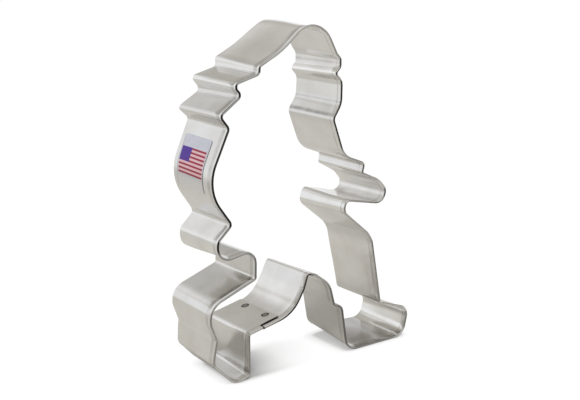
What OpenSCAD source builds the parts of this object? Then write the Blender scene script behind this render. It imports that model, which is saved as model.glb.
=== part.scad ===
// Cookie cutter in the outline of a walking, shaggy ape-man, bent from one strip of tinplate.
// It stands on its two feet, with the hemmed edge to the front and the cutting edge to the back.

/* [Figure] */
// Height of the outline, from sole to crown
figure_h = 113; // [90:1:130]
// Width of the strip, which is the depth of the cutter
strip_w = 25.4; // [19:0.1:32]
// Thickness of the tinplate
sheet_t = 0.25; // [0.2:0.01:0.32]
// Radius of the tight bends, at the middle of the sheet
bend_r = 1.2; // [1.1:0.05:1.3]

/* [Hem] */
// Width of the folded hem along the front edge
hem_w = 1.8; // [1.4:0.1:3]
// Space left inside the fold
hem_gap = 0.25; // [0.1:0.01:0.3]

/* [Lap seam] */
// From the ankle bend to the end of the lower lap
lap_start = 5.8; // [4.5:0.1:7]
// Length that the two ends of the strip lie on each other
lap_l = 7.4; // [6:0.1:8]
// Clearance between the two laps
lap_gap = 0.05; // [0.03:0.01:0.1]
// Gap from the trimmed upper lap to the hem of the lower one
trim_gap = 0.2; // [0.1:0.05:0.5]

/* [Spot welds] */
// Diameter of a spot weld
weld_d = 3; // [2:0.1:3.4]
// From the end of the upper lap to the middle of the welds
weld_inset = 2; // [1.8:0.1:3]
// From the front edge to the middle of the front weld
weld_front = 7; // [5:0.1:8]
// Distance between the two welds
weld_pitch = 12.5; // [6:0.1:13]
// Width of the raised ring round a weld's dished middle
weld_ring = 0.5; // [0.3:0.05:0.8]
// Depth of the dish that each electrode leaves
weld_dish = 0.06; // [0.03:0.01:0.08]

/* [Label] */
// Width of the label, across the strip
label_w = 16.5; // [8:0.5:17]
// Height of the label, along the strip
label_h = 17.5; // [8:0.5:21]
// Thickness of the label's film
label_t = 0.08; // [0.05:0.01:0.15]
// From the front edge to the label
label_front = 6.5; // [3.5:0.1:8]
// From the nape bend to the label, along the strip
label_drop = 3.8; // [2:0.1:6]

/* [Hidden] */

// Height at which the outline below is drawn, and how far that drawing grows
drawn_h = 113;
grow = figure_h / drawn_h;
// Radii of the outline's larger bends, as drawn
soft_r = 3;
round_r = 8;
run_r = 11.5;
back_r = 13.4;
// Cuts run past a surface by this much
over = 1;
// Sides of the weld's cylinders
weld_sides = 48;

// Corners of the outline as [x, z, bend radius], seen from the front, counterclockwise.
// The first and last are set by the lap seam, on the run from the rear foot to the crotch.
ankle_corner = [-27.5, 15.1];
run_corner = [-10.2, 18.9];
front_leg = [
    [-5.5, 26.4, 6], [-3.9, 31.4, bend_r], [-0.3, 30.4, soft_r], [5.7, 25.9, round_r], [7.8, 18.1, bend_r],
    [11.2, 16.8, soft_r], [13.8, 0, 3.8], [39.6, 0, 4.5], [41.8, 9.7, 3.7], [28.2, 14.4, 2.2],
    [23.8, 38.2, 6], [21.8, 41.2, 4]
];
front_arm = [
    [10.6, 50.5, 3.2], [12.6, 54.3, 2], [29.2, 51.2, 3.3], [29.4, 56.1, 2.3], [26.6, 59.2, round_r],
    [18.8, 62.7, bend_r], [19.7, 66, bend_r], [10.9, 69.3, 7.6]
];
face = [
    [6.2, 82.3, 2.4], [9.4, 87.3, 6.7], [9.5, 94.4, 3.2], [6.8, 97.1, bend_r], [8.9, 99.2, 1.8],
    [8.9, 101.8, bend_r], [7.3, 103.4, 1.8]
];
crown = [[3.9, 109.8, 7], [-3.1, 114.7, round_r], [-13.8, 105.2, round_r], [-22.3, 100.7, bend_r]];
nape = [
    [-22.3, 98.4, 1.8], [-31.9, 95.6, bend_r], [-28.6, 92.4, 1.7], [-36.6, 86.6, bend_r],
    [-33.5, 82.7, 1.8]
];
back = [[-41.8, 64.8, back_r]];
rear_arm = [
    [-32.9, 52.4, 1.8], [-38.1, 47.6, 2.5], [-38.6, 40.9, 4], [-24.8, 43.4, 3.9],
    [-24.3, 38.4, soft_r], [-24.4, 33.1, bend_r]
];
rear_leg = [
    [-41.2, 26.7, 6], [-41.4, 21.4, 5.6], [-39.2, 15.3, 1.5], [-40.7, 7.6, soft_r],
    [-32.7, -0.5, 4], [-27.5, 1, 1.4]
];

// Heading of the run that carries the lap, and the lower lap's step outward
run_dir = atan2(run_corner[1] - ankle_corner[1], run_corner[0] - ankle_corner[0]);
lap_step = sheet_t + lap_gap;

function ahead(a) = [cos(a), sin(a)];
function outward(a) = [sin(a), -cos(a)];
function along_run(d, u) = grow * ankle_corner + d * ahead(run_dir) + u * outward(run_dir);
function bent(p, r) = [p[0], p[1], r];
// Larger bends grow with the outline, and the tight ones stay as the sheet folds.
function scaled(list) = [for (c = list) [grow * c[0], grow * c[1], c[2] > bend_r ? grow * c[2] : c[2]]];

CORNERS = concat(
    [bent(along_run(lap_start, lap_step), 0)],
    [bent(along_run(grow * norm(run_corner - ankle_corner), lap_step), grow * run_r)],
    scaled(front_leg), scaled(front_arm), scaled(face), scaled(crown),
    scaled(nape), scaled(back), scaled(rear_arm), scaled(rear_leg),
    [bent(grow * ankle_corner, bend_r)],
    [bent(along_run(lap_start + lap_l, 0), 0)]
);
last = len(CORNERS) - 1;
nape_end = 1 + len(front_leg) + len(front_arm) + len(face) + len(crown) + len(nape);

function xz(c) = [c[0], c[1]];
function heading(i) = atan2(CORNERS[i + 1][1] - CORNERS[i][1], CORNERS[i + 1][0] - CORNERS[i][0]);
function wrap(a) = a > 180 ? a - 360 : a <= -180 ? a + 360 : a;
HEADINGS = [for (i = [0:last - 1]) heading(i)];
TURNS = [for (i = [0:last]) i == 0 || i == last ? 0 : wrap(HEADINGS[i] - HEADINGS[i - 1])];
TANGENTS = [for (i = [0:last]) CORNERS[i][2] * tan(abs(TURNS[i]) / 2)];
ARCS = [for (i = [0:last]) CORNERS[i][2] * abs(TURNS[i]) * PI / 180];
FLATS = [for (i = [0:last - 1])
    norm(xz(CORNERS[i + 1]) - xz(CORNERS[i])) - TANGENTS[i] - TANGENTS[i + 1]];
// Distance along the strip at which each corner's bend begins
BEGINS = [for (i = 0, s = 0; i <= last; s = s + ARCS[i] + (i < last ? FLATS[i] : 0), i = i + 1) s];

// Largest turn and longest chord of one facet of a bend, and the least distance between two stations
facet_turn = 15;
facet_chord = 2;
least_step = 0.01;
function facets(i) = ceil(max(abs(TURNS[i]) / facet_turn, ARCS[i] / facet_chord, 1));

// A station is [point on the middle of the sheet, heading, distance along the strip].
function bend_station(i, f) =
    let (
        side = TURNS[i] > 0 ? 1 : -1,
        h0 = HEADINGS[i - 1],
        h = h0 + f * TURNS[i],
        r = side * CORNERS[i][2],
        centre = xz(CORNERS[i]) - TANGENTS[i] * ahead(h0) - r * outward(h0)
    )
    [centre + r * outward(h), h, BEGINS[i] + f * ARCS[i]];
STATIONS = concat(
    [[xz(CORNERS[0]), HEADINGS[0], 0]],
    [for (i = [1:last - 1]) for (j = [0:facets(i)]) bend_station(i, j / facets(i))],
    [[xz(CORNERS[last]), HEADINGS[last - 1], BEGINS[last]]]
);
// Length of the strip as cut
strip_l = BEGINS[last];

function side_point(j, u) = STATIONS[j][0] + u * outward(STATIONS[j][1]);
function station_before(s) = max([for (j = [0:len(STATIONS) - 2]) if (STATIONS[j][2] <= s) j]);
function side_at(s, u) =
    let (
        j = station_before(s),
        span = STATIONS[j + 1][2] - STATIONS[j][2],
        f = span > 0 ? min(1, (s - STATIONS[j][2]) / span) : 0
    )
    side_point(j, u) * (1 - f) + side_point(j + 1, u) * f;
function side(u, s0, s1) = concat(
    [side_at(s0, u)],
    [for (j = [0:len(STATIONS) - 1])
        if (STATIONS[j][2] > s0 + least_step && STATIONS[j][2] < s1 - least_step) side_point(j, u)],
    [side_at(s1, u)]
);
function reversed(list) = [for (i = [len(list) - 1:-1:0]) list[i]];

// Hem: offsets of the lip's faces from the middle of the sheet, the fold's radius and middle, the
// steps of its nose, and where it is trimmed away for the lap
lip_in = sheet_t / 2 + hem_gap;
lip_out = lip_in + sheet_t;
fold_r = (lip_out + sheet_t / 2) / 2;
fold_mid = (lip_out - sheet_t / 2) / 2;
fold_steps = 2;
hem_end = strip_l - lap_l - trim_gap;

// The outline's own box, which sets the floor and the origin below its middle
OUTER = side(lip_out, 0, hem_end);
x_low = min([for (p = OUTER) p[0]]);
x_high = max([for (p = OUTER) p[0]]);
z_low = min([for (p = OUTER) p[1]]);

// Welds: their place and heading on the strip, and their length through both laps
weld_s = strip_l - weld_inset;
weld_turn = HEADINGS[last - 1];
weld_len = 2 * sheet_t + lap_gap;

// Lifts what is drawn lying on its cutting edge to the standing pose.
module stand() {
    translate([-(x_low + x_high) / 2, strip_w / 2, -z_low]) rotate([90, 0, 0]) children();
}

// Part of the bent sheet: offsets u0 to u1, from s0 to s1 along it and z0 to z1 across it
module band(u0, u1, s0, s1, z0, z1) {
    translate([0, 0, z0])
        linear_extrude(height = z1 - z0)
            polygon(concat(side(u0, s0, s1), reversed(side(u1, s0, s1))));
}

// Puts a child's z axis through the laps, from the upper lap's face outward.
module at_weld(across) {
    p = side_at(weld_s, -sheet_t / 2);
    translate([p[0], p[1], strip_w - across]) rotate([0, 0, weld_turn]) rotate([90, 0, 0]) children();
}

// The wall, trimmed back where it laps, with the hem's lip and its rounded nose in steps
module strip() {
    color([0.78, 0.77, 0.74]) stand() difference() {
        union() {
            band(-sheet_t / 2, sheet_t / 2, 0, strip_l, 0, strip_w - hem_w - trim_gap);
            band(-sheet_t / 2, sheet_t / 2, 0, hem_end, strip_w - hem_w - trim_gap, strip_w - fold_r);
            band(lip_in, lip_out, 0, hem_end, strip_w - hem_w, strip_w - fold_r);
            for (i = [0:fold_steps - 1]) {
                half = fold_r * sqrt(1 - pow(i / fold_steps, 2));
                z0 = strip_w - fold_r * (1 - i / fold_steps);
                band(fold_mid - half, fold_mid + half, 0, hem_end, z0, z0 + fold_r / fold_steps);
            }
        }
        for (across = [weld_front, weld_front + weld_pitch])
            at_weld(across) translate([0, 0, -over])
                cylinder(d = weld_d, h = weld_len + 2 * over, $fn = weld_sides);
    }
}

// Nugget of a spot weld, dished by the electrode on both faces
module weld(across) {
    dish_d = weld_d - 2 * weld_ring;
    color([0.5, 0.49, 0.46]) stand() at_weld(across) difference() {
        cylinder(d = weld_d, h = weld_len, $fn = weld_sides);
        translate([0, 0, -over]) cylinder(d = dish_d, h = over + weld_dish, $fn = weld_sides);
        translate([0, 0, weld_len - weld_dish]) cylinder(d = dish_d, h = over, $fn = weld_sides);
    }
}

// Film on the outer face below the nape
module label() {
    s0 = BEGINS[nape_end] + ARCS[nape_end] + label_drop;
    z1 = strip_w - label_front;
    color([0.86, 0.84, 0.92]) stand()
        band(sheet_t / 2, sheet_t / 2 + label_t, s0, s0 + label_h, z1 - label_w, z1);
}

strip();
weld(weld_front);
weld(weld_front + weld_pitch);  // weld_rear
label();
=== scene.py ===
"""Looks of a tinplate cookie cutter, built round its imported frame.

The sheet's lengths are in millimetres, which place() turns into metres. The studio's are in metres.
"""

import math
from collections import namedtuple

import bpy
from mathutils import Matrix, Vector, noise


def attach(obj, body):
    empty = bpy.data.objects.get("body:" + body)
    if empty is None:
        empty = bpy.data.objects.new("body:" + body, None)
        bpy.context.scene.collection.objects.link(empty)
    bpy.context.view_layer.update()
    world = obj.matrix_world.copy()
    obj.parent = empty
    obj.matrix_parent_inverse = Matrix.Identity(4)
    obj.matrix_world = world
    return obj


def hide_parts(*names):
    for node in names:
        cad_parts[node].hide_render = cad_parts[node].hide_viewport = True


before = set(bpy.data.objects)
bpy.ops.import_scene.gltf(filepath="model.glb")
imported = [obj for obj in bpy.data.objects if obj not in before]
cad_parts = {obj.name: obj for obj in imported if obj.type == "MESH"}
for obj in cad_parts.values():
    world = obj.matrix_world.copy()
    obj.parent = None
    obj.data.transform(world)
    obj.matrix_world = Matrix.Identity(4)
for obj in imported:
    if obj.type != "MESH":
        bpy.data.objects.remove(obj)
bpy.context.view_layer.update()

MM = 0.001

# The sheet, its hem and its lap, as in the part's source
SHEET_T = 0.25
STRIP_W = 25.4
HEM_W = 1.8
HEM_GAP = 0.25
LAP_START = 5.8
LAP_L = 7.4
LAP_GAP = 0.05
TRIM_GAP = 0.2
WELD_D = 3.0
WELD_INSET = 2.0
WELD_FRONTS = {"weld_front": 7.0, "weld_rear": 19.5}
LABEL_W = 16.5
LABEL_H = 17.5
LABEL_T = 0.08
LABEL_FRONT = 6.5
LABEL_DROP = 3.8

# Radii of the bends: tight, soft, round, the run to the crotch, the back, and two that are eased
BEND_R = 1.2
SOFT_R = 3
ROUND_R = 8
RUN_R = 11.5
BACK_R = 13.4
CROWN_R = 30
HEEL_R = 5

# Corners of the outline as (x, z, bend radius), seen from the front, counterclockwise. They are the part's
# own, but for the radii of the two eased bends: the crown's gentle one and the front foot's rear one
ANKLE = (-27.5, 15.1)
RUN = (-10.2, 18.9)
FRONT_LEG = [
    (-5.5, 26.4, 6), (-3.9, 31.4, BEND_R), (-0.3, 30.4, SOFT_R), (5.7, 25.9, ROUND_R), (7.8, 18.1, BEND_R),
    (11.2, 16.8, SOFT_R), (13.8, 0, HEEL_R), (39.6, 0, 4.5), (41.8, 9.7, 3.7), (28.2, 14.4, 2.2),
    (23.8, 38.2, 6), (21.8, 41.2, 4),
]
FRONT_ARM = [
    (10.6, 50.5, 3.2), (12.6, 54.3, 2), (29.2, 51.2, 3.3), (29.4, 56.1, 2.3), (26.6, 59.2, ROUND_R),
    (18.8, 62.7, BEND_R), (19.7, 66, BEND_R), (10.9, 69.3, 7.6),
]
FACE = [
    (6.2, 82.3, 2.4), (9.4, 87.3, 6.7), (9.5, 94.4, 3.2), (6.8, 97.1, BEND_R), (8.9, 99.2, 1.8),
    (8.9, 101.8, BEND_R), (7.3, 103.4, 1.8),
]
CROWN = [(3.9, 109.8, 7), (-3.1, 114.7, ROUND_R), (-13.8, 105.2, CROWN_R), (-22.3, 100.7, BEND_R)]
NAPE = [
    (-22.3, 98.4, 1.8), (-31.9, 95.6, BEND_R), (-28.6, 92.4, 1.7), (-36.6, 86.6, BEND_R),
    (-33.5, 82.7, 1.8),
]
BACK = [(-41.8, 64.8, BACK_R)]
REAR_ARM = [
    (-32.9, 52.4, 1.8), (-38.1, 47.6, 2.5), (-38.6, 40.9, 4), (-24.8, 43.4, 3.9),
    (-24.3, 38.4, SOFT_R), (-24.4, 33.1, BEND_R),
]
REAR_LEG = [
    (-41.2, 26.7, 6), (-41.4, 21.4, 5.6), (-39.2, 15.3, 1.5), (-40.7, 7.6, SOFT_R),
    (-32.7, -0.5, 4), (-27.5, 1, 1.4),
]

# Longest steps of the mesh: along the flats, along the bends, and in degrees of a bend
FLAT_STEP = 1.3
ARC_STEP = 0.35
TURN_STEP = 5
# Fewest and most steps of one bend
FEWEST_STEPS, MOST_STEPS = 3, 44


def ahead(heading):
    return Vector((math.cos(heading), math.sin(heading)))


def outward(heading):
    return Vector((math.sin(heading), -math.cos(heading)))


def smooth(t):
    """0 to 1 with level ends."""
    t = min(max(t, 0), 1)
    return t * t * (3 - 2 * t)


def bump(t):
    """1 at 0, falling to 0 past about 2."""
    return math.exp(-t * t)


def all_corners():
    """The outline with the two ends that lap each other on the run from the rear foot."""
    ankle, run = Vector(ANKLE), Vector(RUN)
    heading = math.atan2(run.y - ankle.y, run.x - ankle.x)
    step = (SHEET_T + LAP_GAP) * outward(heading)
    lower_end = ankle + LAP_START * ahead(heading) + step
    upper_end = ankle + (LAP_START + LAP_L) * ahead(heading)
    middle = FRONT_LEG + FRONT_ARM + FACE + CROWN + NAPE + BACK + REAR_ARM + REAR_LEG
    return [(*lower_end, 0), (*(run + step), RUN_R), *middle, (*ANKLE, BEND_R), (*upper_end, 0)]


CORNERS = all_corners()
LAST = len(CORNERS) - 1
NAPE_END = 1 + len(FRONT_LEG + FRONT_ARM + FACE + CROWN + NAPE)

Station = namedtuple("Station", "point heading along bend")
Bend = namedtuple("Bend", "middle turn radius")


def walk_outline():
    """Stations along the strip, and each corner's bend, with distances from the lower lap's end."""
    points = [Vector(c[:2]) for c in CORNERS]
    headings = []
    for a, b in zip(points, points[1:]):
        headings.append(math.atan2(b.y - a.y, b.x - a.x))
    stations = [Station(points[0], headings[0], 0.0, 0.0)]
    bends = [Bend(0.0, 0.0, 0.0)]
    along, tangent = 0.0, 0.0
    for i in range(1, LAST + 1):
        turn = 0.0 if i == LAST else math.remainder(headings[i] - headings[i - 1], 2 * math.pi)
        radius = CORNERS[i][2]
        next_tangent = radius * math.tan(abs(turn) / 2)
        flat = (points[i] - points[i - 1]).length - tangent - next_tangent
        start = points[i - 1] + tangent * ahead(headings[i - 1])
        steps = max(1, math.ceil(flat / FLAT_STEP))
        for j in range(1, steps + 1):
            at = start + flat * j / steps * ahead(headings[i - 1])
            stations.append(Station(at, headings[i - 1], along + flat * j / steps, 0.0))
        along += flat
        arc = radius * abs(turn)
        bends.append(Bend(along + arc / 2, turn, radius))
        if i == LAST:
            break
        signed = math.copysign(radius, turn)
        centre = points[i] - next_tangent * ahead(headings[i - 1]) - signed * outward(headings[i - 1])
        steps = max(math.ceil(math.degrees(abs(turn)) / TURN_STEP), math.ceil(arc / ARC_STEP))
        steps = min(max(steps, FEWEST_STEPS), MOST_STEPS)
        for j in range(1, steps + 1):
            heading = headings[i - 1] + turn * j / steps
            at = centre + signed * outward(heading)
            stations.append(Station(at, heading, along + arc * j / steps, BEND_R / radius))
        along += arc
        tangent = next_tangent
    return stations, bends


STATIONS, BENDS = walk_outline()
STRIP_L = STATIONS[-1].along
HEM_END = STRIP_L - LAP_L - TRIM_GAP
NAPE_BEND = BENDS[NAPE_END]
LABEL_START = NAPE_BEND.middle + NAPE_BEND.radius * abs(NAPE_BEND.turn) / 2 + LABEL_DROP

# The hem lies outside the wall. Its outer face sets the floor and the middle of the part.
LIP_MID = SHEET_T + HEM_GAP
FOLD_MID = LIP_MID / 2
LIP_OUT = LIP_MID + SHEET_T / 2
OUTER = [s.point + LIP_OUT * outward(s.heading) for s in STATIONS if s.along <= HEM_END]
SHIFT = Vector((-(min(p.x for p in OUTER) + max(p.x for p in OUTER)) / 2, -min(p.y for p in OUTER)))


def knots(by_corner):
    """Values given by corner, as (distance along the strip, vector)."""
    found = []
    for i, v in by_corner.items():
        along = STRIP_L if i == LAST else BENDS[i].middle
        found.append((along, Vector(v if isinstance(v, tuple) else (v, 0))))
    return found


def between(found, along, spread=1):
    """The value at this distance along the strip, eased over this share of the way between two knots."""
    for (a, va), (b, vb) in zip(found, found[1:]):
        if along <= b:
            return va.lerp(vb, smooth(((along - a) / (b - a) - 0.5) / spread + 0.5))
    return found[-1][1]


# How far the cutting edge strays from the hem's outline, as {corner: (x, z)}: the strip is sprung by hand
STRAY = {
    0: (0.2, -0.6), 1: (0.2, -0.6), 2: (0.4, -0.2), 3: (0.6, -1), 4: (0.5, -1.2), 6: (1.2, 0.4),
    8: (1.4, 0.8), 9: (0.7, -0.4), 10: (0.6, -1.6), 11: (0.7, -0.6), 12: (0, -0.6), 14: (-0.2, -0.7),
    15: (0.1, 0.2), 17: (0.1, -0.5), 20: (0.5, 0.1), 22: (0, 0.4), 26: (0.4, 0), 28: (0.4, 1.1),
    29: (0.7, 1.9), 30: (1.1, 1.3), 31: (-0.5, 1.7), 32: (-0.8, 1.5), 33: (-0.6, 0.8), 34: (-0.8, 0.8),
    35: (-0.2, 0), 36: (-0.7, 0.3), 37: (-0.1, 0.5), 38: (0.4, 0.4), 40: (0.4, -0.5), 41: (0.4, -1.4),
    42: (0.1, -0.7), 44: (0, -0.2), 47: (0, 0), 48: (0.7, 0), 49: (0.4, -0.1), 51: (0.2, -0.6),
    52: (0.2, -0.6),
}
STRAY_AT = knots(STRAY)

# Hand-bent tin is never quite flat: slow and quick waves of its faces, each with its place in the noise
SLOW_WAVE, SLOW_ALONG, SLOW_ACROSS, SLOW_AT = 0.07, 14, 15, 3.1
QUICK_WAVE, QUICK_ALONG, QUICK_ACROSS, QUICK_AT = 0.014, 5, 7, 8.7
# The waves start at the hem, and a little past the lap, and grow over these distances
FREE_PAST_LAP, FREE_ACROSS, FREE_ALONG = 1, 5, 4
# The sheet puckers beside the hem where it is bent sharply, to a side that the noise picks
PUCKER, PUCKER_ACROSS, PUCKER_ALONG, PUCKER_SIZE = 0.16, 3.1, 1.3, 0.8
PUCKER_REACH = PUCKER_ALONG + 4 * PUCKER_SIZE
PUCKER_AT = (0.5, 0.5)
SHARP_R, SHARP_TURN = 1.8, math.radians(25)
SHARP = [b for b in BENDS if 0 < b.radius <= SHARP_R and abs(b.turn) > SHARP_TURN]
# Under the lip's edge the wall is pressed in a little, as {corner: depth}, so the lip lies nearer to flush
JOGGLE_ACROSS, JOGGLE_SIZE = 1.8, 1.5
JOGGLE = {
    0: 0.08, 22: 0.06, 28: 0.06, 29: 0.2, 40: 0.2, 41: 0.06, 42: 0.08, 43: 0.2, 48: 0.2, 49: 0.06,
    52: 0.06,
}
JOGGLE_AT = knots(JOGGLE)


def swell(along, across):
    """How far the sheet's face stands off its true place."""
    past_lap = min(along, STRIP_L - along) - LAP_L
    free = smooth((across - HEM_W) / FREE_ACROSS) * smooth((past_lap - FREE_PAST_LAP) / FREE_ALONG)
    slow = noise.noise(Vector((along / SLOW_ALONG, across / SLOW_ACROSS, SLOW_AT)))
    quick = noise.noise(Vector((along / QUICK_ALONG, across / QUICK_ACROSS, QUICK_AT)))
    height = free * (SLOW_WAVE * slow + QUICK_WAVE * quick)
    height -= between(JOGGLE_AT, along).x * bump((across - JOGGLE_ACROSS) / JOGGLE_SIZE)
    for b in SHARP:
        if abs(along - b.middle) < PUCKER_REACH:
            side = math.copysign(1, noise.noise(Vector((b.middle, *PUCKER_AT))))
            reach = bump((along - b.middle - side * PUCKER_ALONG) / PUCKER_SIZE)
            height -= PUCKER * b.turn * reach * bump((across - PUCKER_ACROSS) / PUCKER_SIZE)
    return height


def place(station, off, across):
    """World point, in metres, this far outward from the sheet's middle and behind the front edge."""
    point = station.point + (off + swell(station.along, across)) * outward(station.heading)
    point += smooth(across / STRIP_W) * between(STRAY_AT, station.along) + SHIFT
    return Vector((point.x, across - STRIP_W / 2, point.y)) * MM


def station_at(along):
    """A station at any distance along the strip."""
    for a, b in zip(STATIONS, STATIONS[1:]):
        if b.along >= along:
            t = (along - a.along) / max(b.along - a.along, 1e-9)
            turn = math.remainder(b.heading - a.heading, 2 * math.pi)
            return Station(a.point.lerp(b.point, t), a.heading + t * turn, along, b.bend)
    return STATIONS[-1]


# Edges are shaded sharp where faces meet at over this angle
SHARP_ANGLE = math.radians(35)


def make_mesh(name, verts, faces, attributes):
    """A smooth-shaded object with its sharp edges and the values that its material reads."""
    mesh = bpy.data.meshes.new(name)
    mesh.from_pydata(verts, [], faces)
    for key, values in attributes:
        kind = "FLOAT" if isinstance(values[0], float) else "FLOAT_VECTOR"
        layer = mesh.attributes.new(key, kind, "POINT")
        if kind == "FLOAT":
            layer.data.foreach_set("value", values)
        else:
            layer.data.foreach_set("vector", [x for v in values for x in v])
    mesh.validate()
    mesh.shade_smooth()
    mesh.set_sharp_from_angle(angle=SHARP_ANGLE)
    made = bpy.data.objects.new(name, mesh)
    bpy.context.scene.collection.objects.link(made)
    return made


# The hem's lip closes on the wall towards its edge, which doesn't lie quite evenly
LIP_CLOSE = 0.19
LIP_WANDER, WANDER_ALONG, WANDER_AT = 0.07, 6, (1.7, 4.2)
# The sheared edges are rounded off over this length, to this share of the sheet's thickness
EDGE_BEVEL, EDGE_SHARE = 0.05, 0.6
# Places of the mesh's points across the lip, from its edge, and the one among them where the fold starts
LIP_STEPS = (0.0, EDGE_BEVEL, 0.35, 0.7, 1.05, 1.2, HEM_W - SHEET_T - HEM_GAP / 2)
NOSE = len(LIP_STEPS) - 1
FOLD_SIDES = 8
# Places of the points across the wall behind the fold, and the longest step after them
WALL_ACROSS = (0.7, 1.1, 1.5, HEM_W + TRIM_GAP, 2.05, 2.5, 2.95, 3.4, 3.9, 4.5, 5.3, 6.3)
WALL_STEP = 1.5


def section():
    """The sheet's middle from the lip's edge round the fold to the cutting edge: offset, across, normal, half
    thickness. The normal's side is the wall's outer one."""
    half = SHEET_T / 2
    points = []
    for step in LIP_STEPS:
        closing = LIP_CLOSE * (1 - step / LIP_STEPS[-1])
        thickness = half * EDGE_SHARE if step == 0 else half
        points.append((LIP_MID - closing, HEM_W - step, (-1, 0), thickness))
    fold_front = HEM_W - LIP_STEPS[-1]
    for i in range(1, FOLD_SIDES + 1):
        a = math.pi * i / FOLD_SIDES
        off, across = FOLD_MID + FOLD_MID * math.cos(a), fold_front - FOLD_MID * math.sin(a)
        points.append((off, across, (-math.cos(a), math.sin(a)), half))
    rest = STRIP_W - EDGE_BEVEL - WALL_ACROSS[-1]
    steps = math.ceil(rest / WALL_STEP)
    across = list(WALL_ACROSS) + [WALL_ACROSS[-1] + rest * i / steps for i in range(1, steps + 1)]
    points += [(0, a, (1, 0), half) for a in across]
    points.append((0, STRIP_W, (1, 0), half * EDGE_SHARE))
    return points


SECTION = section()
TRIM = next(i for i, p in enumerate(SECTION) if p[0] == 0 and p[1] == HEM_W + TRIM_GAP)


def lip_wander(along, i):
    """How far the lip strays off the wall, most at its edge."""
    share = max(0, 1 - i / len(LIP_STEPS))
    return share * LIP_WANDER * noise.noise(Vector((along / WANDER_ALONG, *WANDER_AT)))


# How light the tin is painted on each flat, as {corner before the flat: share of its usual lightness}:
# painted light and shade that stands in for what each flat mirrors
FLAT_PAINTED_LIGHT = {
    0: 1.06, 1: 1.08, 2: 1, 5: 1, 7: 0.97, 8: 0.7, 9: 1.13, 10: 1, 11: 1.18, 13: 1, 14: 1.08, 16: 1.12,
    17: 1.25, 18: 1.1, 19: 1, 21: 1.04, 22: 0.96, 23: 0.94, 24: 1, 25: 1.15, 26: 0.94, 28: 1.05, 30: 1.26,
    31: 1.2, 32: 1.03, 33: 1.06, 35: 0.95, 37: 1, 38: 1, 39: 1, 40: 1.07, 41: 0.93, 43: 0.98, 44: 0.9,
    45: 1, 50: 1, 51: 1.05,
}
FLAT_PAINTED_LIGHT_AT = [((BENDS[i].middle + BENDS[i + 1].middle) / 2, Vector((v, 0))) for i, v in FLAT_PAINTED_LIGHT.items()]
# The painted light and shade changes over this share of the way from one flat's middle to the next one's
PAINTED_LIGHT_SPREAD = 0.3

# Where the tin is duller, as {corner: share}: inside the front arm
DULL_AT = knots({15: 0, 16: 1, 18: 1, 19: 0})

# The trimmed front corner of the upper lap stands a little off the lower one
LAP_LIFT, LIFT_ALONG, LIFT_ACROSS = 0.11, 2, 5


def lap_lift(along, across):
    """How far the upper lap stands off, past its hem's trimmed end and near its front edge."""
    near_front = smooth((HEM_W + LIFT_ACROSS - across) / LIFT_ACROSS)
    return LAP_LIFT * smooth((along - HEM_END) / LIFT_ALONG) * near_front


# How dark the fold's nose is painted, as {corner: share}: a painted dark reflection of the dim front
NOSE_PAINTED_DARK = {
    0: 0.7, 1: 1, 3: 0.95, 4: 0.6, 7: 0.76, 9: 0.72, 11: 0.65, 14: 0.6, 17: 0.8, 19: 0.7, 22: 0.9, 23: 1,
    24: 1, 26: 0.8, 29: 0.7, 32: 0.8, 34: 0.9, 37: 1, 38: 1, 40: 1, 41: 0.65, 43: 0.65, 45: 0.6,
    47: 0.55, 49: 0.65, 52: 0.7,
}
NOSE_PAINTED_DARK_AT = knots(NOSE_PAINTED_DARK)
# The painted dark share on the laps' sheared edges, their dark cut steel deepened by painted shade, and how
# far from the lower lap's end they are dark
SHEARED_PAINTED_DARK, LAP_END_DARK = 0.85, 0.5
# How many degrees round the fold the painted dark reflection reaches from the lip, and over how many it
# fades: on a nose that stands upright, on one that faces up, where this share of it is left, and on one
# that faces down. So the nose is painted darker or lighter by the way it faces
UPRIGHT_REACH, UPRIGHT_FADE = 170, 25
UP_REACH, UP_FADE, UP_SHARE = 70, 35, 0.85
DOWN_REACH, DOWN_FADE = 115, 45
# Facing down, that reach belongs to this share of the dark, and it grows by so many degrees for a whole one
DOWN_SHARE, DOWN_STRETCH = 0.7, 200
# Upward or downward part of the wall's facing where a nose starts to count as lying, and over how much more
LYING_FROM, LYING_OVER = 0.3, 0.4


def painted_dark_share(station, i, side):
    """Painted dark here: a dark reflection on the fold's nose, and shade on the laps' sheared edges."""
    if (i == TRIM and station.along > HEM_END) or (i <= TRIM and station.along < LAP_END_DARK):
        return SHEARED_PAINTED_DARK
    if side > 0 or not NOSE <= i <= NOSE + FOLD_SIDES:
        return 0.0
    turned = 180 * (i - NOSE) / FOLD_SIDES
    upright = smooth((UPRIGHT_REACH - turned) / UPRIGHT_FADE)
    face_up = UP_SHARE * smooth((UP_REACH - turned) / UP_FADE)
    share = between(NOSE_PAINTED_DARK_AT, station.along).x
    down_reach = DOWN_REACH + DOWN_STRETCH * (share - DOWN_SHARE)
    face_down = smooth((down_reach - turned) / DOWN_FADE)
    facing = outward(station.heading).y
    lying = face_up if facing > 0 else face_down
    return share * (upright + smooth((abs(facing) - LYING_FROM) / LYING_OVER) * (lying - upright))


# More stations, close by the two ends and where the hem is trimmed. Others so near the trim are left out
EXTRA_STATIONS = (LAP_END_DARK - 0.05, LAP_END_DARK + 0.1, HEM_END, STRIP_L - 0.35)
TRIM_CLEAR = 0.2


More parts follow.
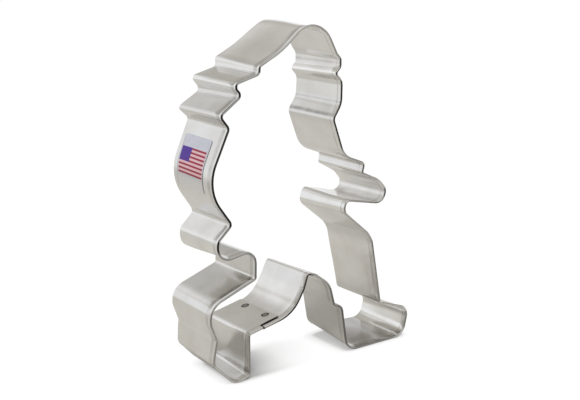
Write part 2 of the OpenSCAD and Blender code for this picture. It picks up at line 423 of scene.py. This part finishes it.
def make_strip():
    """The bent sheet: both faces of every section, and closed edges and ends. The upper lap has no hem."""
    stations = [s for s in STATIONS if abs(s.along - HEM_END) > TRIM_CLEAR]
    stations += [station_at(along) for along in EXTRA_STATIONS]
    stations.sort(key=lambda s: s.along)
    verts, faces, sheet, bent, painted_dark, painted_light, dull = [], [], [], [], [], [], []
    count = len(SECTION)

    def at(j, i, side):
        return (j * count + i) * 2 + side

    for s in stations:
        run = 0.0
        for i, (off, across, normal, half) in enumerate(SECTION):
            if i:
                run += math.hypot(off - SECTION[i - 1][0], across - SECTION[i - 1][1])
            for side in (-1, 1):
                u = off + lip_wander(s.along, i) - lap_lift(s.along, across) + side * half * normal[0]
                verts.append(place(s, u, across + side * half * normal[1]))
                sheet.append((s.along, run, side))
                bent.append(s.bend)
                # The nose's painted dark reflection and the sheared edges' painted shade
                painted_dark.append(painted_dark_share(s, i, side))
                # Each flat's painted light and shade
                painted_light.append(between(FLAT_PAINTED_LIGHT_AT, s.along, PAINTED_LIGHT_SPREAD).x)
                dull.append(between(DULL_AT, s.along).x)
    hem_end = next(j for j, s in enumerate(stations) if s.along >= HEM_END)
    for j in range(len(stations) - 1):
        first = TRIM if j >= hem_end else 0
        for i in range(first, count - 1):
            faces.append((at(j, i, 0), at(j + 1, i, 0), at(j + 1, i + 1, 0), at(j, i + 1, 0)))
            faces.append((at(j, i, 1), at(j, i + 1, 1), at(j + 1, i + 1, 1), at(j + 1, i, 1)))
        for i, flip in ((first, True), (count - 1, False)):
            ring = (at(j, i, 0), at(j, i, 1), at(j + 1, i, 1), at(j + 1, i, 0))
            faces.append(ring if flip else ring[::-1])
    ends = ((0, 0, count - 1, True), (hem_end, 0, TRIM, False), (len(stations) - 1, TRIM, count - 1, False))
    for j, first, last, flip in ends:
        for i in range(first, last):
            ring = (at(j, i, 0), at(j, i + 1, 0), at(j, i + 1, 1), at(j, i, 1))
            faces.append(ring if flip else ring[::-1])
    values = [("sheet", sheet), ("bent", bent), ("painted_dark", painted_dark), ("painted_light", painted_light), ("dull", dull)]
    return make_mesh("strip_sheet", verts, faces, values)


# A weld's profile as (radius, height) on each face: a raised ring round the electrode's dish
WELD_PROFILE = [
    (0, 0.012), (0.35, 0.012), (0.75, 0.02), (0.95, 0.05), (1.15, 0.055), (1.35, 0.03), (WELD_D / 2, -0.01),
]
WELD_SIDES = 48


def make_weld(name, across):
    """A dished spot through both laps, a little proud of them."""
    s = station_at(STRIP_L - WELD_INSET)
    upper = -SHEET_T / 2
    lower = SHEET_T / 2 + SHEET_T + LAP_GAP
    rings = [(r, upper - h) for r, h in WELD_PROFILE] + [(r, lower + h) for r, h in reversed(WELD_PROFILE)]
    verts, faces, sheet = [], [], []
    for r, off in rings:
        for i in range(WELD_SIDES):
            a = 2 * math.pi * i / WELD_SIDES
            there = station_at(s.along + r * math.cos(a)) if r else s
            there = Station(s.point + (r * math.cos(a)) * ahead(s.heading), s.heading, there.along, 0.0)
            verts.append(place(there, off, across + r * math.sin(a)))
            sheet.append((r * math.cos(a), r * math.sin(a), r))
    for j in range(len(rings) - 1):
        for i in range(WELD_SIDES):
            k = (i + 1) % WELD_SIDES
            a, b = j * WELD_SIDES, (j + 1) * WELD_SIDES
            if rings[j][0] == 0:
                faces.append((a, b + k, b + i))
            elif rings[j + 1][0] == 0:
                faces.append((a + i, a + k, b))
            else:
                faces.append((a + i, a + k, b + k, b + i))
    return make_mesh(name, verts, faces, [("spot", sheet)])


# The film's mesh, the radius of its corners, and how far it stands off the tin
LABEL_ROWS, LABEL_COLUMNS = 44, 32
LABEL_CORNER = 0.9
LABEL_LIFT = 0.01


def make_label():
    """The film, laid on the sheet's outer face with small round corners."""
    verts, faces, film = [], [], []
    for layer in (0, 1):
        for j in range(LABEL_ROWS + 1):
            down = LABEL_H * j / LABEL_ROWS
            near = min(down, LABEL_H - down)
            inset = LABEL_CORNER - math.sqrt(LABEL_CORNER**2 - max(0, LABEL_CORNER - near) ** 2)
            s = station_at(LABEL_START + down)
            for i in range(LABEL_COLUMNS + 1):
                right = inset + (LABEL_W - 2 * inset) * i / LABEL_COLUMNS
                across = LABEL_FRONT + LABEL_W - right
                off = SHEET_T / 2 + LABEL_LIFT + layer * LABEL_T
                verts.append(place(s, off, across))
                film.append((right, down, layer))
    wide = LABEL_COLUMNS + 1
    top = wide * (LABEL_ROWS + 1)
    for j in range(LABEL_ROWS):
        for i in range(LABEL_COLUMNS):
            a = j * wide + i
            ring = (a, a + 1, a + 1 + wide, a + wide)
            faces.append(ring)
            faces.append(tuple(top + v for v in ring[::-1]))
    for j in range(LABEL_ROWS):
        for a, b in ((j * wide, (j + 1) * wide), ((j + 2) * wide - 1, (j + 1) * wide - 1)):
            faces.append((a, b, top + b, top + a))
    for i in range(LABEL_COLUMNS):
        for a, b in ((i + 1, i), (LABEL_ROWS * wide + i, LABEL_ROWS * wide + i + 1)):
            faces.append((a, b, top + b, top + a))
    return make_mesh("label_film", verts, faces, [("film", film)])


class Nodes:
    """Short calls to lay out the nodes of a material or a world."""

    def __init__(self, owner, shader="Principled BSDF"):
        owner.use_nodes = True
        self.owner = owner
        self.tree = owner.node_tree
        self.shader = self.tree.nodes[shader]

    def node(self, kind, inputs=None, **settings):
        made = self.tree.nodes.new("ShaderNode" + kind)
        for key, value in settings.items():
            setattr(made, key, value)
        for key, value in (inputs or {}).items():
            self.put(made.inputs[key], value)
        return made

    def put(self, socket, value):
        if isinstance(value, bpy.types.NodeSocket):
            self.tree.links.new(value, socket)
        else:
            socket.default_value = value

    def math(self, operation, *values):
        made = self.node("Math", dict(enumerate(values)), operation=operation)
        return made.outputs[0]

    def times(self, a, b):
        return self.math("MULTIPLY", a, b)

    def attribute(self, name, output="Fac"):
        return self.node("Attribute", attribute_name=name).outputs[output]

    def parts(self, vector):
        return self.node("SeparateXYZ", {"Vector": vector}).outputs

    def noise(self, vector, stretch, scale, detail):
        stretched = self.node("Mapping", {"Vector": vector, "Scale": stretch}).outputs[0]
        inputs = {"Vector": stretched, "Scale": scale, "Detail": detail, "Roughness": 0.5}
        return self.node("TexNoise", inputs).outputs["Fac"]

    def bump(self, height, strength, distance):
        inputs = {"Strength": strength, "Distance": distance, "Height": height}
        return self.node("Bump", inputs).outputs[0]

    def span(self, value, low, high, to_low=0, to_high=1):
        inputs = {"Value": value, "From Min": low, "From Max": high, "To Min": to_low, "To Max": to_high}
        return self.node("MapRange", inputs).outputs[0]

    def mix(self, share, a, b):
        made = self.node("Mix", data_type="RGBA")
        self.put(made.inputs[0], share)
        self.put(made.inputs[6], a)
        self.put(made.inputs[7], b)
        return made.outputs[2]

    def set(self, **values):
        for key, value in values.items():
            self.put(self.shader.inputs[key.replace("_", " ")], value)


# The levels between which a noise mostly lies
LEVELS = (0.3, 0.7)

TIN = (0.745, 0.738, 0.722, 1)
TIN_DULL = (0.69, 0.675, 0.65, 1)
TIN_RUBBED = (0.80, 0.795, 0.78, 1)
TIN_SPECK = (0.50, 0.48, 0.45, 1)
# Painted shade and dark reflection in lines by the bends and the hem
TIN_PAINTED_LINE = (0.30, 0.29, 0.28, 1)
# Painted dark reflection on the fold's nose, and painted shade on the laps' sheared edges
TIN_PAINTED_DARK_REFLECTION = (0.055, 0.052, 0.05, 1)
# Noises over the tin, as (stretch, scale, detail): cloudy patches, streaks, specks, and gaps in the lines
CLOUDS = ((1, 1, 4), 0.13, 3)
STREAKS = ((0.04, 1.1, 5), 1.0, 2)
SPECKS = ((1, 1, 9), 1.1, 1)
GAPS = ((1, 1, 5), 0.2, 2)
# Levels of each noise, of the bends' tightness and of the nose's dark between which the colour changes
CLOUD_LEVELS = (0.35, 0.7)
SPECK_LEVELS = (0.74, 0.8)
GAP_LEVELS = (0.35, 0.6)
BENT_LEVELS = (0.3, 1)
PAINTED_DARK_LEVELS = (0.35, 0.85)
# Shares of the other colour on a tight bend and in a speck, and of a line at its faintest
RUBBED_SHARE, SPECK_SHARE, FAINT_SHARE = 0.45, 0.4, 0.4
# Roughness between clouds and in them, how much a streak changes it, and how much duller the dull tin is
ROUGH_CLEAR, ROUGH_CLOUD, ROUGH_STREAK, ROUGH_DULL = 0.13, 0.19, 0.015, 0.16
# Shares of the streaks and the clouds in the relief, its strength and its depth in metres
STREAK_RELIEF, CLOUD_RELIEF, TIN_RELIEF, TIN_DEPTH = 0.4, 0.6, 0.06, 0.00003

# Dark lines painted across the sheet beside a bend, as (corner, distance past its middle, half width,
# share): a painted dark reflection where the sheet turns from hollow to round
BEND_PAINTED_LINES = [(22, 1.25, 0.95, 0.75), (23, 0.3, 0.4, 0.4), (26, 1.2, 0.5, 0.3), (50, 1.0, 0.4, 0.4)]
# Dark lines painted along the hem, as (distance along the section, half width, share inside the wall, share
# outside): painted shade beyond the lip's edge outside, and a painted dark reflection by the fold inside
HEM_PAINTED_SHADE = [(3.8, 0.3, 0.5, 0.0), (4.7, 1.2, 0.0, 0.4)]


def line(n, value, middle, half, edge, share):
    """Share of a line along this middle, fading out past its edge."""
    off = n.math("ABSOLUTE", n.math("SUBTRACT", value, middle))
    return n.times(n.span(off, half, edge), share)


def tin_material():
    """Satin tinplate: cloudy patches, faint rolling streaks, specks, rubbed bends, painted light and shade on
    each flat, painted dark lines by bends and hem, and a nose painted dark as a reflection.
    """
    n = Nodes(bpy.data.materials.new("tinplate"))
    sheet = n.attribute("sheet", "Vector")
    clouds = n.noise(sheet, *CLOUDS)
    streaks = n.noise(sheet, *STREAKS)
    base = n.mix(n.span(clouds, *CLOUD_LEVELS), TIN, TIN_DULL)
    base = n.mix(n.times(n.span(n.attribute("bent"), *BENT_LEVELS), RUBBED_SHARE), base, TIN_RUBBED)
    base = n.mix(n.span(n.noise(sheet, *SPECKS), *SPECK_LEVELS, 0, SPECK_SHARE), base, TIN_SPECK)
    # Each flat's painted light and shade scales the colour
    base = n.node("VectorMath", {0: base, "Scale": n.attribute("painted_light")}, operation="SCALE").outputs[0]
    along, run, side = n.parts(sheet)
    uneven = n.span(n.noise(sheet, *GAPS), *GAP_LEVELS, FAINT_SHARE, 1)
    # Painted dark reflection lines beside bends, and painted shade lines along the hem
    for corner, past, half, share in BEND_PAINTED_LINES:
        painted_line = line(n, along, BENDS[corner].middle + past, half, half / 3, n.times(uneven, share))
        base = n.mix(painted_line, base, TIN_PAINTED_LINE)
    for middle, half, inside, outside in HEM_PAINTED_SHADE:
        share = n.times(n.span(side, -1, 1, inside, outside), uneven)
        base = n.mix(line(n, run, middle, half, half / 2, share), base, TIN_PAINTED_LINE)
    # The nose painted dark as a reflection, and painted shade on the laps' sheared edges
    base = n.mix(n.span(n.attribute("painted_dark"), *PAINTED_DARK_LEVELS), base, TIN_PAINTED_DARK_REFLECTION)
    streaky = n.span(streaks, *LEVELS, -ROUGH_STREAK, ROUGH_STREAK)
    roughness = n.math("ADD", n.span(clouds, *LEVELS, ROUGH_CLEAR, ROUGH_CLOUD), streaky)
    roughness = n.math("ADD", roughness, n.times(n.attribute("dull"), ROUGH_DULL))
    height = n.math("ADD", n.times(streaks, STREAK_RELIEF), n.times(clouds, CLOUD_RELIEF))
    relief = n.bump(height, TIN_RELIEF, TIN_DEPTH)
    n.set(Base_Color=base, Metallic=1.0, Roughness=roughness, Normal=relief)
    return n.owner


WELD_DISH = (0.40, 0.385, 0.36, 1)
WELD_RING = (0.13, 0.12, 0.11, 1)
WELD_HEART = (0.10, 0.095, 0.09, 1)
# Distances from the weld's middle between which the ring starts, ends, and the heart ends
RING_INNER, RING_OUTER, HEART_OUTER = (0.55, 0.85), (1.65, 1.4), (0.35, 0.15)
# Noises over the weld, as (stretch, scale, detail), and how far the first one moves the ring
BLOTCHES = ((1, 1, 0), 1.3, 3)
GRAIN = ((1, 1, 0), 6, 2)
RING_WANDER = 0.2
# Roughness at that noise's lower and upper level, and the relief's strength and depth in metres
WELD_ROUGH = (0.4, 0.55)
WELD_RELIEF, WELD_DEPTH = 0.4, 0.00003


def weld_material():
    """Heat-marked spot: a dark ring, a greyer dish and a dark heart."""
    n = Nodes(bpy.data.materials.new("weld_metal"))
    spot = n.attribute("spot", "Vector")
    blotches = n.noise(spot, *BLOTCHES)
    radius = n.math("ADD", n.parts(spot)[2], n.span(blotches, *LEVELS, -RING_WANDER, RING_WANDER))
    ring = n.times(n.span(radius, *RING_INNER), n.span(radius, *RING_OUTER))
    base = n.mix(ring, WELD_DISH, WELD_RING)
    base = n.mix(n.span(radius, *HEART_OUTER), base, WELD_HEART)
    relief = n.bump(n.noise(spot, *GRAIN), WELD_RELIEF, WELD_DEPTH)
    n.set(Base_Color=base, Metallic=1.0, Roughness=n.span(blotches, *LEVELS, *WELD_ROUGH), Normal=relief)
    return n.owner


# The print on the label: a block on the upper left of a field of stripes, with bare film above and below
PRINT_LEFT, PRINT_TOP, PRINT_W, PRINT_H = 0.7, 4.1, 15.1, 8.6
PRINT_SLANT = 0.05
PRINT_BLUR = 0.06
STRIPES = 13
BLOCK_W, BLOCK_STRIPES = 6.2, 7
# A red stripe takes up half of each step down the field. Its upper and lower edges, as shares of the step
RED_TOP, RED_FOOT = (0.0, 0.06), (0.54, 0.46)
INK_BLUE = (0.055, 0.008, 0.25, 1)
INK_RED = (0.29, 0.006, 0.03, 1)
INK_PALE = (0.68, 0.44, 0.46, 1)
FILM_CLEAR = (0.57, 0.57, 0.62, 1)
FILM_CLOUDED = (0.53, 0.535, 0.58, 1)
FILM_LOWER = (0.71, 0.705, 0.70, 1)
# Painted shade along the film's side edges
FILM_EDGE_SHADE = (0.30, 0.30, 0.31, 1)
# Where the film's lower part starts, from the print's top, and where its two side edges are painted dark:
# the painted shade of the film's raised edge
LOWER_START = (PRINT_H - 0.5, PRINT_H + 1.5)
EDGE_LEFT, EDGE_RIGHT = (0.3, 0.1), (LABEL_W - 0.35, LABEL_W - 0.1)
# Noises over the film, as (stretch, scale, detail)
MOTTLE = ((1, 1, 0), 0.35, 1)
RIPPLES = ((1, 1, 0), 0.35, 2)
# Roughness at the mottle's lower and upper level, and the relief's strength and depth in metres
FILM_ROUGH = (0.2, 0.26)
FILM_RELIEF, FILM_DEPTH = 0.3, 0.00004
# How much less of a metal the print is than the clear film on the tin
PRINT_COVER = 0.4


def label_material():
    """Clear film over the tin, so it looks like glossier tin with a cool cast, and its print."""
    n = Nodes(bpy.data.materials.new("label_film"))
    film = n.attribute("film", "Vector")
    across, along = n.parts(film)[:2]
    down = n.math("SUBTRACT", along, PRINT_TOP)
    slant = n.times(n.math("SUBTRACT", down, PRINT_H / 2), PRINT_SLANT)
    right = n.math("SUBTRACT", n.math("SUBTRACT", across, PRINT_LEFT), slant)

    def within(value, low, high):
        after_low = n.span(value, low - PRINT_BLUR, low + PRINT_BLUR)
        before_high = n.span(value, high + PRINT_BLUR, high - PRINT_BLUR)
        return n.times(after_low, before_high)

    printed = n.times(within(right, 0, PRINT_W), within(down, 0, PRINT_H))
    block = n.times(within(right, 0, BLOCK_W), within(down, 0, PRINT_H * BLOCK_STRIPES / STRIPES))
    phase = n.math("FRACT", n.times(down, STRIPES / 2 / PRINT_H))
    red = n.times(n.span(phase, *RED_TOP), n.span(phase, *RED_FOOT))
    ink = n.mix(block, n.mix(red, INK_PALE, INK_RED), INK_BLUE)
    mottle = n.noise(film, *MOTTLE)
    clear = n.mix(n.span(mottle, *LEVELS), FILM_CLEAR, FILM_CLOUDED)
    clear = n.mix(n.span(down, *LOWER_START), clear, FILM_LOWER)
    # The film's side edges painted dark, as their shade
    edge = n.math("MAXIMUM", n.span(across, *EDGE_RIGHT), n.span(across, *EDGE_LEFT))
    clear = n.mix(edge, clear, FILM_EDGE_SHADE)
    n.set(
        Base_Color=n.mix(printed, clear, ink),
        Metallic=n.math("SUBTRACT", 1.0, n.times(printed, PRINT_COVER)),
        Roughness=n.span(mottle, *LEVELS, *FILM_ROUGH),
        Coat_Weight=0.1,
        Coat_Roughness=0.1,
        Normal=n.bump(n.noise(film, *RIPPLES), FILM_RELIEF, FILM_DEPTH),
    )
    return n.owner


def dress(piece, material, slot, *nodes):
    piece.data.materials.append(material)
    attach(piece, "root")
    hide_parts(*nodes)


dress(make_strip(), tin_material(), "tinplate", "strip")
weld_metal = weld_material()
for name, across in WELD_FRONTS.items():
    dress(make_weld(name + "_spot", across), weld_metal, "weld_metal", name)
dress(make_label(), label_material(), "label_film", "label")


# The photograph's view: azimuth and elevation in degrees, distance and aim in metres, focal length in pixels
VIEW_AZIMUTH, VIEW_ELEVATION = -35.58, 13.17
VIEW_DISTANCE = 0.3013
VIEW_AIM = Vector((-0.01117, -0.0127, 0.05819))
FOCAL_PIXELS, FRAME_PIXELS = 934.4, 580
SENSOR = 36


def make_camera():
    data = bpy.data.cameras.new("camera")
    data.sensor_width = SENSOR
    data.lens = FOCAL_PIXELS * SENSOR / FRAME_PIXELS
    data.clip_start = 0.01
    camera = bpy.data.objects.new("camera", data)
    bpy.context.scene.collection.objects.link(camera)
    a, e = math.radians(VIEW_AZIMUTH), math.radians(VIEW_ELEVATION)
    back = Vector((math.sin(a) * math.cos(e), -math.cos(a) * math.cos(e), math.sin(e)))
    camera.location = VIEW_AIM + VIEW_DISTANCE * back
    camera.rotation_mode = "QUATERNION"
    camera.rotation_quaternion = (-back).to_track_quat("-Z", "Y")
    bpy.context.scene.camera = camera


# The floor, in metres
FLOOR_SIZE = 12
FLOOR_COLOUR = (0.8, 0.795, 0.775, 1)
# The floor as metal mirrors it: the share that is lit, all round and in front, and its own light
MIRRORED_LIT = (0.46, 0.445, 0.415, 1)
MIRRORED_LIT_FRONT = (0.2, 0.19, 0.17, 1)
MIRRORED_NEAR, MIRRORED_FAR, MIRRORED_FRONT = 0.22, 0.62, 0.14
GLOW_NEAR = (1, 0.975, 0.92, 1)
GLOW_FAR = (0.96, 0.985, 1.0, 1)
# Where the front begins, and over which distances from the middle the own light and its colour change
FRONT_START = (-0.03, -0.07)
LIGHT_CHANGE, COLOUR_CHANGE = (0.25, 0.9), (0.08, 0.3)
# Where the feet's shadows lie on the floor, traced and painted, as (low x, high x, low y, high y)
FEET = [(-0.030, -0.0275, -0.0105, 0.006), (0.017, 0.038, -0.0105, 0.006)]
# How fast each shadow fades to the left, right, front and back, and how far off its darkest part counts
FADES = [(2.0, 0.4, 2.5, 1.8, 0), (1.6, 2.0, 2.5, 2.8, 0.0052)]
# The floor's colour with a painted shadow at a foot and past the shadow, and the distance between them
FOOT_PAINTED_SHADOW = (0.45, 0.45, 0.45, 1)
CONTACT_LIGHT = (0.93, 0.93, 0.93, 1)
PAINTED_SHADOW_REACH = 0.01
# What is left of the mirrored light at a foot, and how far from it all is back
CONTACT_MIRRORED, MIRRORED_REACH = 0.5, 0.006
# Pure white takes over from the shadow in two steps, as (from, to, share), and its strength
WHITE_NEAR = (0.002, 0.008, 0.7)
WHITE_FAR = (0.008, 0.016, 0.3)
WHITE_STRENGTH = 1.03


def shadow_distance(n, x, y):
    """Distance on the floor from the nearer foot, scaled by how fast its shadow fades to that side."""

    def beyond(larger, smaller, fade):
        return n.times(n.math("MAXIMUM", n.math("SUBTRACT", larger, smaller), 0), fade)

    distances = []
    for (low, high, front, rear), (left, right, forward, back, least) in zip(FEET, FADES):
        beside = n.math("ADD", beyond(low, x, left), beyond(x, high, right))
        off = n.math("ADD", beyond(front, y, forward), beyond(y, rear, back))
        squares = n.math("ADD", n.times(beside, beside), n.times(off, off))
        distances.append(n.math("MAXIMUM", n.math("SQRT", squares), least))
    return n.math("MINIMUM", *distances)


def make_floor():
    """A large white sheet, pure white to the camera but for the feet's soft shadows, traced and painted, and
    toned for metal.
    """
    half = FLOOR_SIZE / 2
    verts = [(-half, -half, 0), (half, -half, 0), (half, half, 0), (-half, half, 0)]
    mesh = bpy.data.meshes.new("floor")
    mesh.from_pydata(verts, [], [(0, 1, 2, 3)])
    floor = bpy.data.objects.new("floor", mesh)
    bpy.context.scene.collection.objects.link(floor)
    n = Nodes(bpy.data.materials.new("floor_paper"))
    path = n.node("LightPath")
    seen, mirrored = path.outputs["Is Camera Ray"], path.outputs["Is Glossy Ray"]
    place_on = n.node("NewGeometry").outputs["Position"]
    x, y = n.parts(place_on)[:2]
    from_middle = n.node("VectorMath", {0: place_on}, operation="LENGTH").outputs["Value"]
    front = n.span(y, *FRONT_START)
    apart = shadow_distance(n, x, y)
    lit = n.mix(mirrored, FLOOR_COLOUR, n.mix(front, MIRRORED_LIT, MIRRORED_LIT_FRONT))
    # A shadow painted into the floor's colour round each foot, for the camera
    painted_shadow = n.mix(n.span(apart, 0, PAINTED_SHADOW_REACH), FOOT_PAINTED_SHADOW, CONTACT_LIGHT)
    n.set(Base_Color=n.mix(seen, lit, painted_shadow), Roughness=0.9, Specular_IOR_Level=0.1)
    own = n.span(from_middle, *LIGHT_CHANGE, MIRRORED_NEAR, MIRRORED_FAR)
    own = n.math("ADD", own, n.times(front, n.math("SUBTRACT", MIRRORED_FRONT, own)))
    own = n.times(own, n.span(apart, 0.0, MIRRORED_REACH, CONTACT_MIRRORED, 1))
    colour = n.mix(n.span(from_middle, *COLOUR_CHANGE), GLOW_NEAR, GLOW_FAR)
    glow = n.node("Emission", {"Color": colour, "Strength": n.times(mirrored, own)})
    both = n.node("AddShader", {0: n.shader.outputs[0], 1: glow.outputs[0]})
    steps = [n.span(apart, low, high, 0, share) for low, high, share in (WHITE_NEAR, WHITE_FAR)]
    white = n.math("ADD", *steps)
    paper = n.node("Emission", {"Strength": WHITE_STRENGTH})
    shown = n.node("MixShader", {0: n.times(seen, white), 1: both.outputs[0], 2: paper.outputs[0]})
    n.put(n.tree.nodes["Material Output"].inputs[0], shown.outputs[0])
    mesh.materials.append(n.owner)


# What metal mirrors, by direction: x to the right, y to the back, z up
HORIZON = (0.97, 0.985, 1.01, 1)
CEILING_LEFT = (0.95, 0.955, 0.965, 1)
CEILING_RIGHT = (0.50, 0.485, 0.45, 1)
FAR_LEFT = (0.70, 0.69, 0.66, 1)
HIGH_BACK = (0.52, 0.505, 0.475, 1)
OVERHEAD = (0.95, 0.95, 0.95, 1)
FRONT = (0.34, 0.335, 0.32, 1)
AMBIENT = (0.66, 0.66, 0.66, 1)
WHITE = (1, 1, 1, 1)
# Where each of them takes over, as parts of a direction of length 1: to the right, to the back, or up
CEILING_RIGHT_X = (-0.1, 0.36)
FAR_LEFT_X, FAR_LEFT_Z = (-0.33, -0.43), (0.37, 0.42)
HIGH_BACK_Z = (0.52, 0.64)
CEILING_Z = (0.25, 0.36)
FRONT_Y, FRONT_Z = (-0.05, -0.4), (0.62, 0.4)
OVERHEAD_Z = (0.78, 0.88)


def make_world():
    """White to the camera. Metal sees a white horizon behind, a dimmer warm ceiling and a dark front."""
    world = bpy.data.worlds.new("studio")
    bpy.context.scene.world = world
    n = Nodes(world, "Background")
    x, y, z = n.parts(n.node("TexCoord").outputs["Generated"])
    ceiling = n.mix(n.span(x, *CEILING_RIGHT_X), CEILING_LEFT, CEILING_RIGHT)
    far_left = n.times(n.span(x, *FAR_LEFT_X), n.span(z, *FAR_LEFT_Z))
    ceiling = n.mix(far_left, ceiling, FAR_LEFT)
    ceiling = n.mix(n.span(z, *HIGH_BACK_Z), ceiling, HIGH_BACK)
    sky = n.mix(n.span(z, *CEILING_Z), HORIZON, ceiling)
    sky = n.mix(n.times(n.span(y, *FRONT_Y), n.span(z, *FRONT_Z)), sky, FRONT)
    sky = n.mix(n.span(z, *OVERHEAD_Z), sky, OVERHEAD)
    path = n.node("LightPath")
    soft = n.mix(path.outputs["Is Glossy Ray"], AMBIENT, sky)
    n.set(Color=n.mix(path.outputs["Is Camera Ray"], soft, WHITE))


def make_lamp(name, place_m, aim_m, size, watts):
    data = bpy.data.lights.new(name, "AREA")
    data.shape = "DISK"
    data.size = size
    data.energy = watts
    lamp = bpy.data.objects.new(name, data)
    bpy.context.scene.collection.objects.link(lamp)
    lamp.location = place_m
    lamp.rotation_mode = "QUATERNION"
    lamp.rotation_quaternion = (Vector(aim_m) - Vector(place_m)).to_track_quat("-Z", "Y")
    lamp.visible_glossy = False


make_camera()
make_floor()
make_world()
make_lamp("front_lamp", place_m=(-0.25, -0.6, 1.1), aim_m=(0, 0, 0.05), size=0.7, watts=9)
bpy.context.scene.view_settings.view_transform = "Standard"
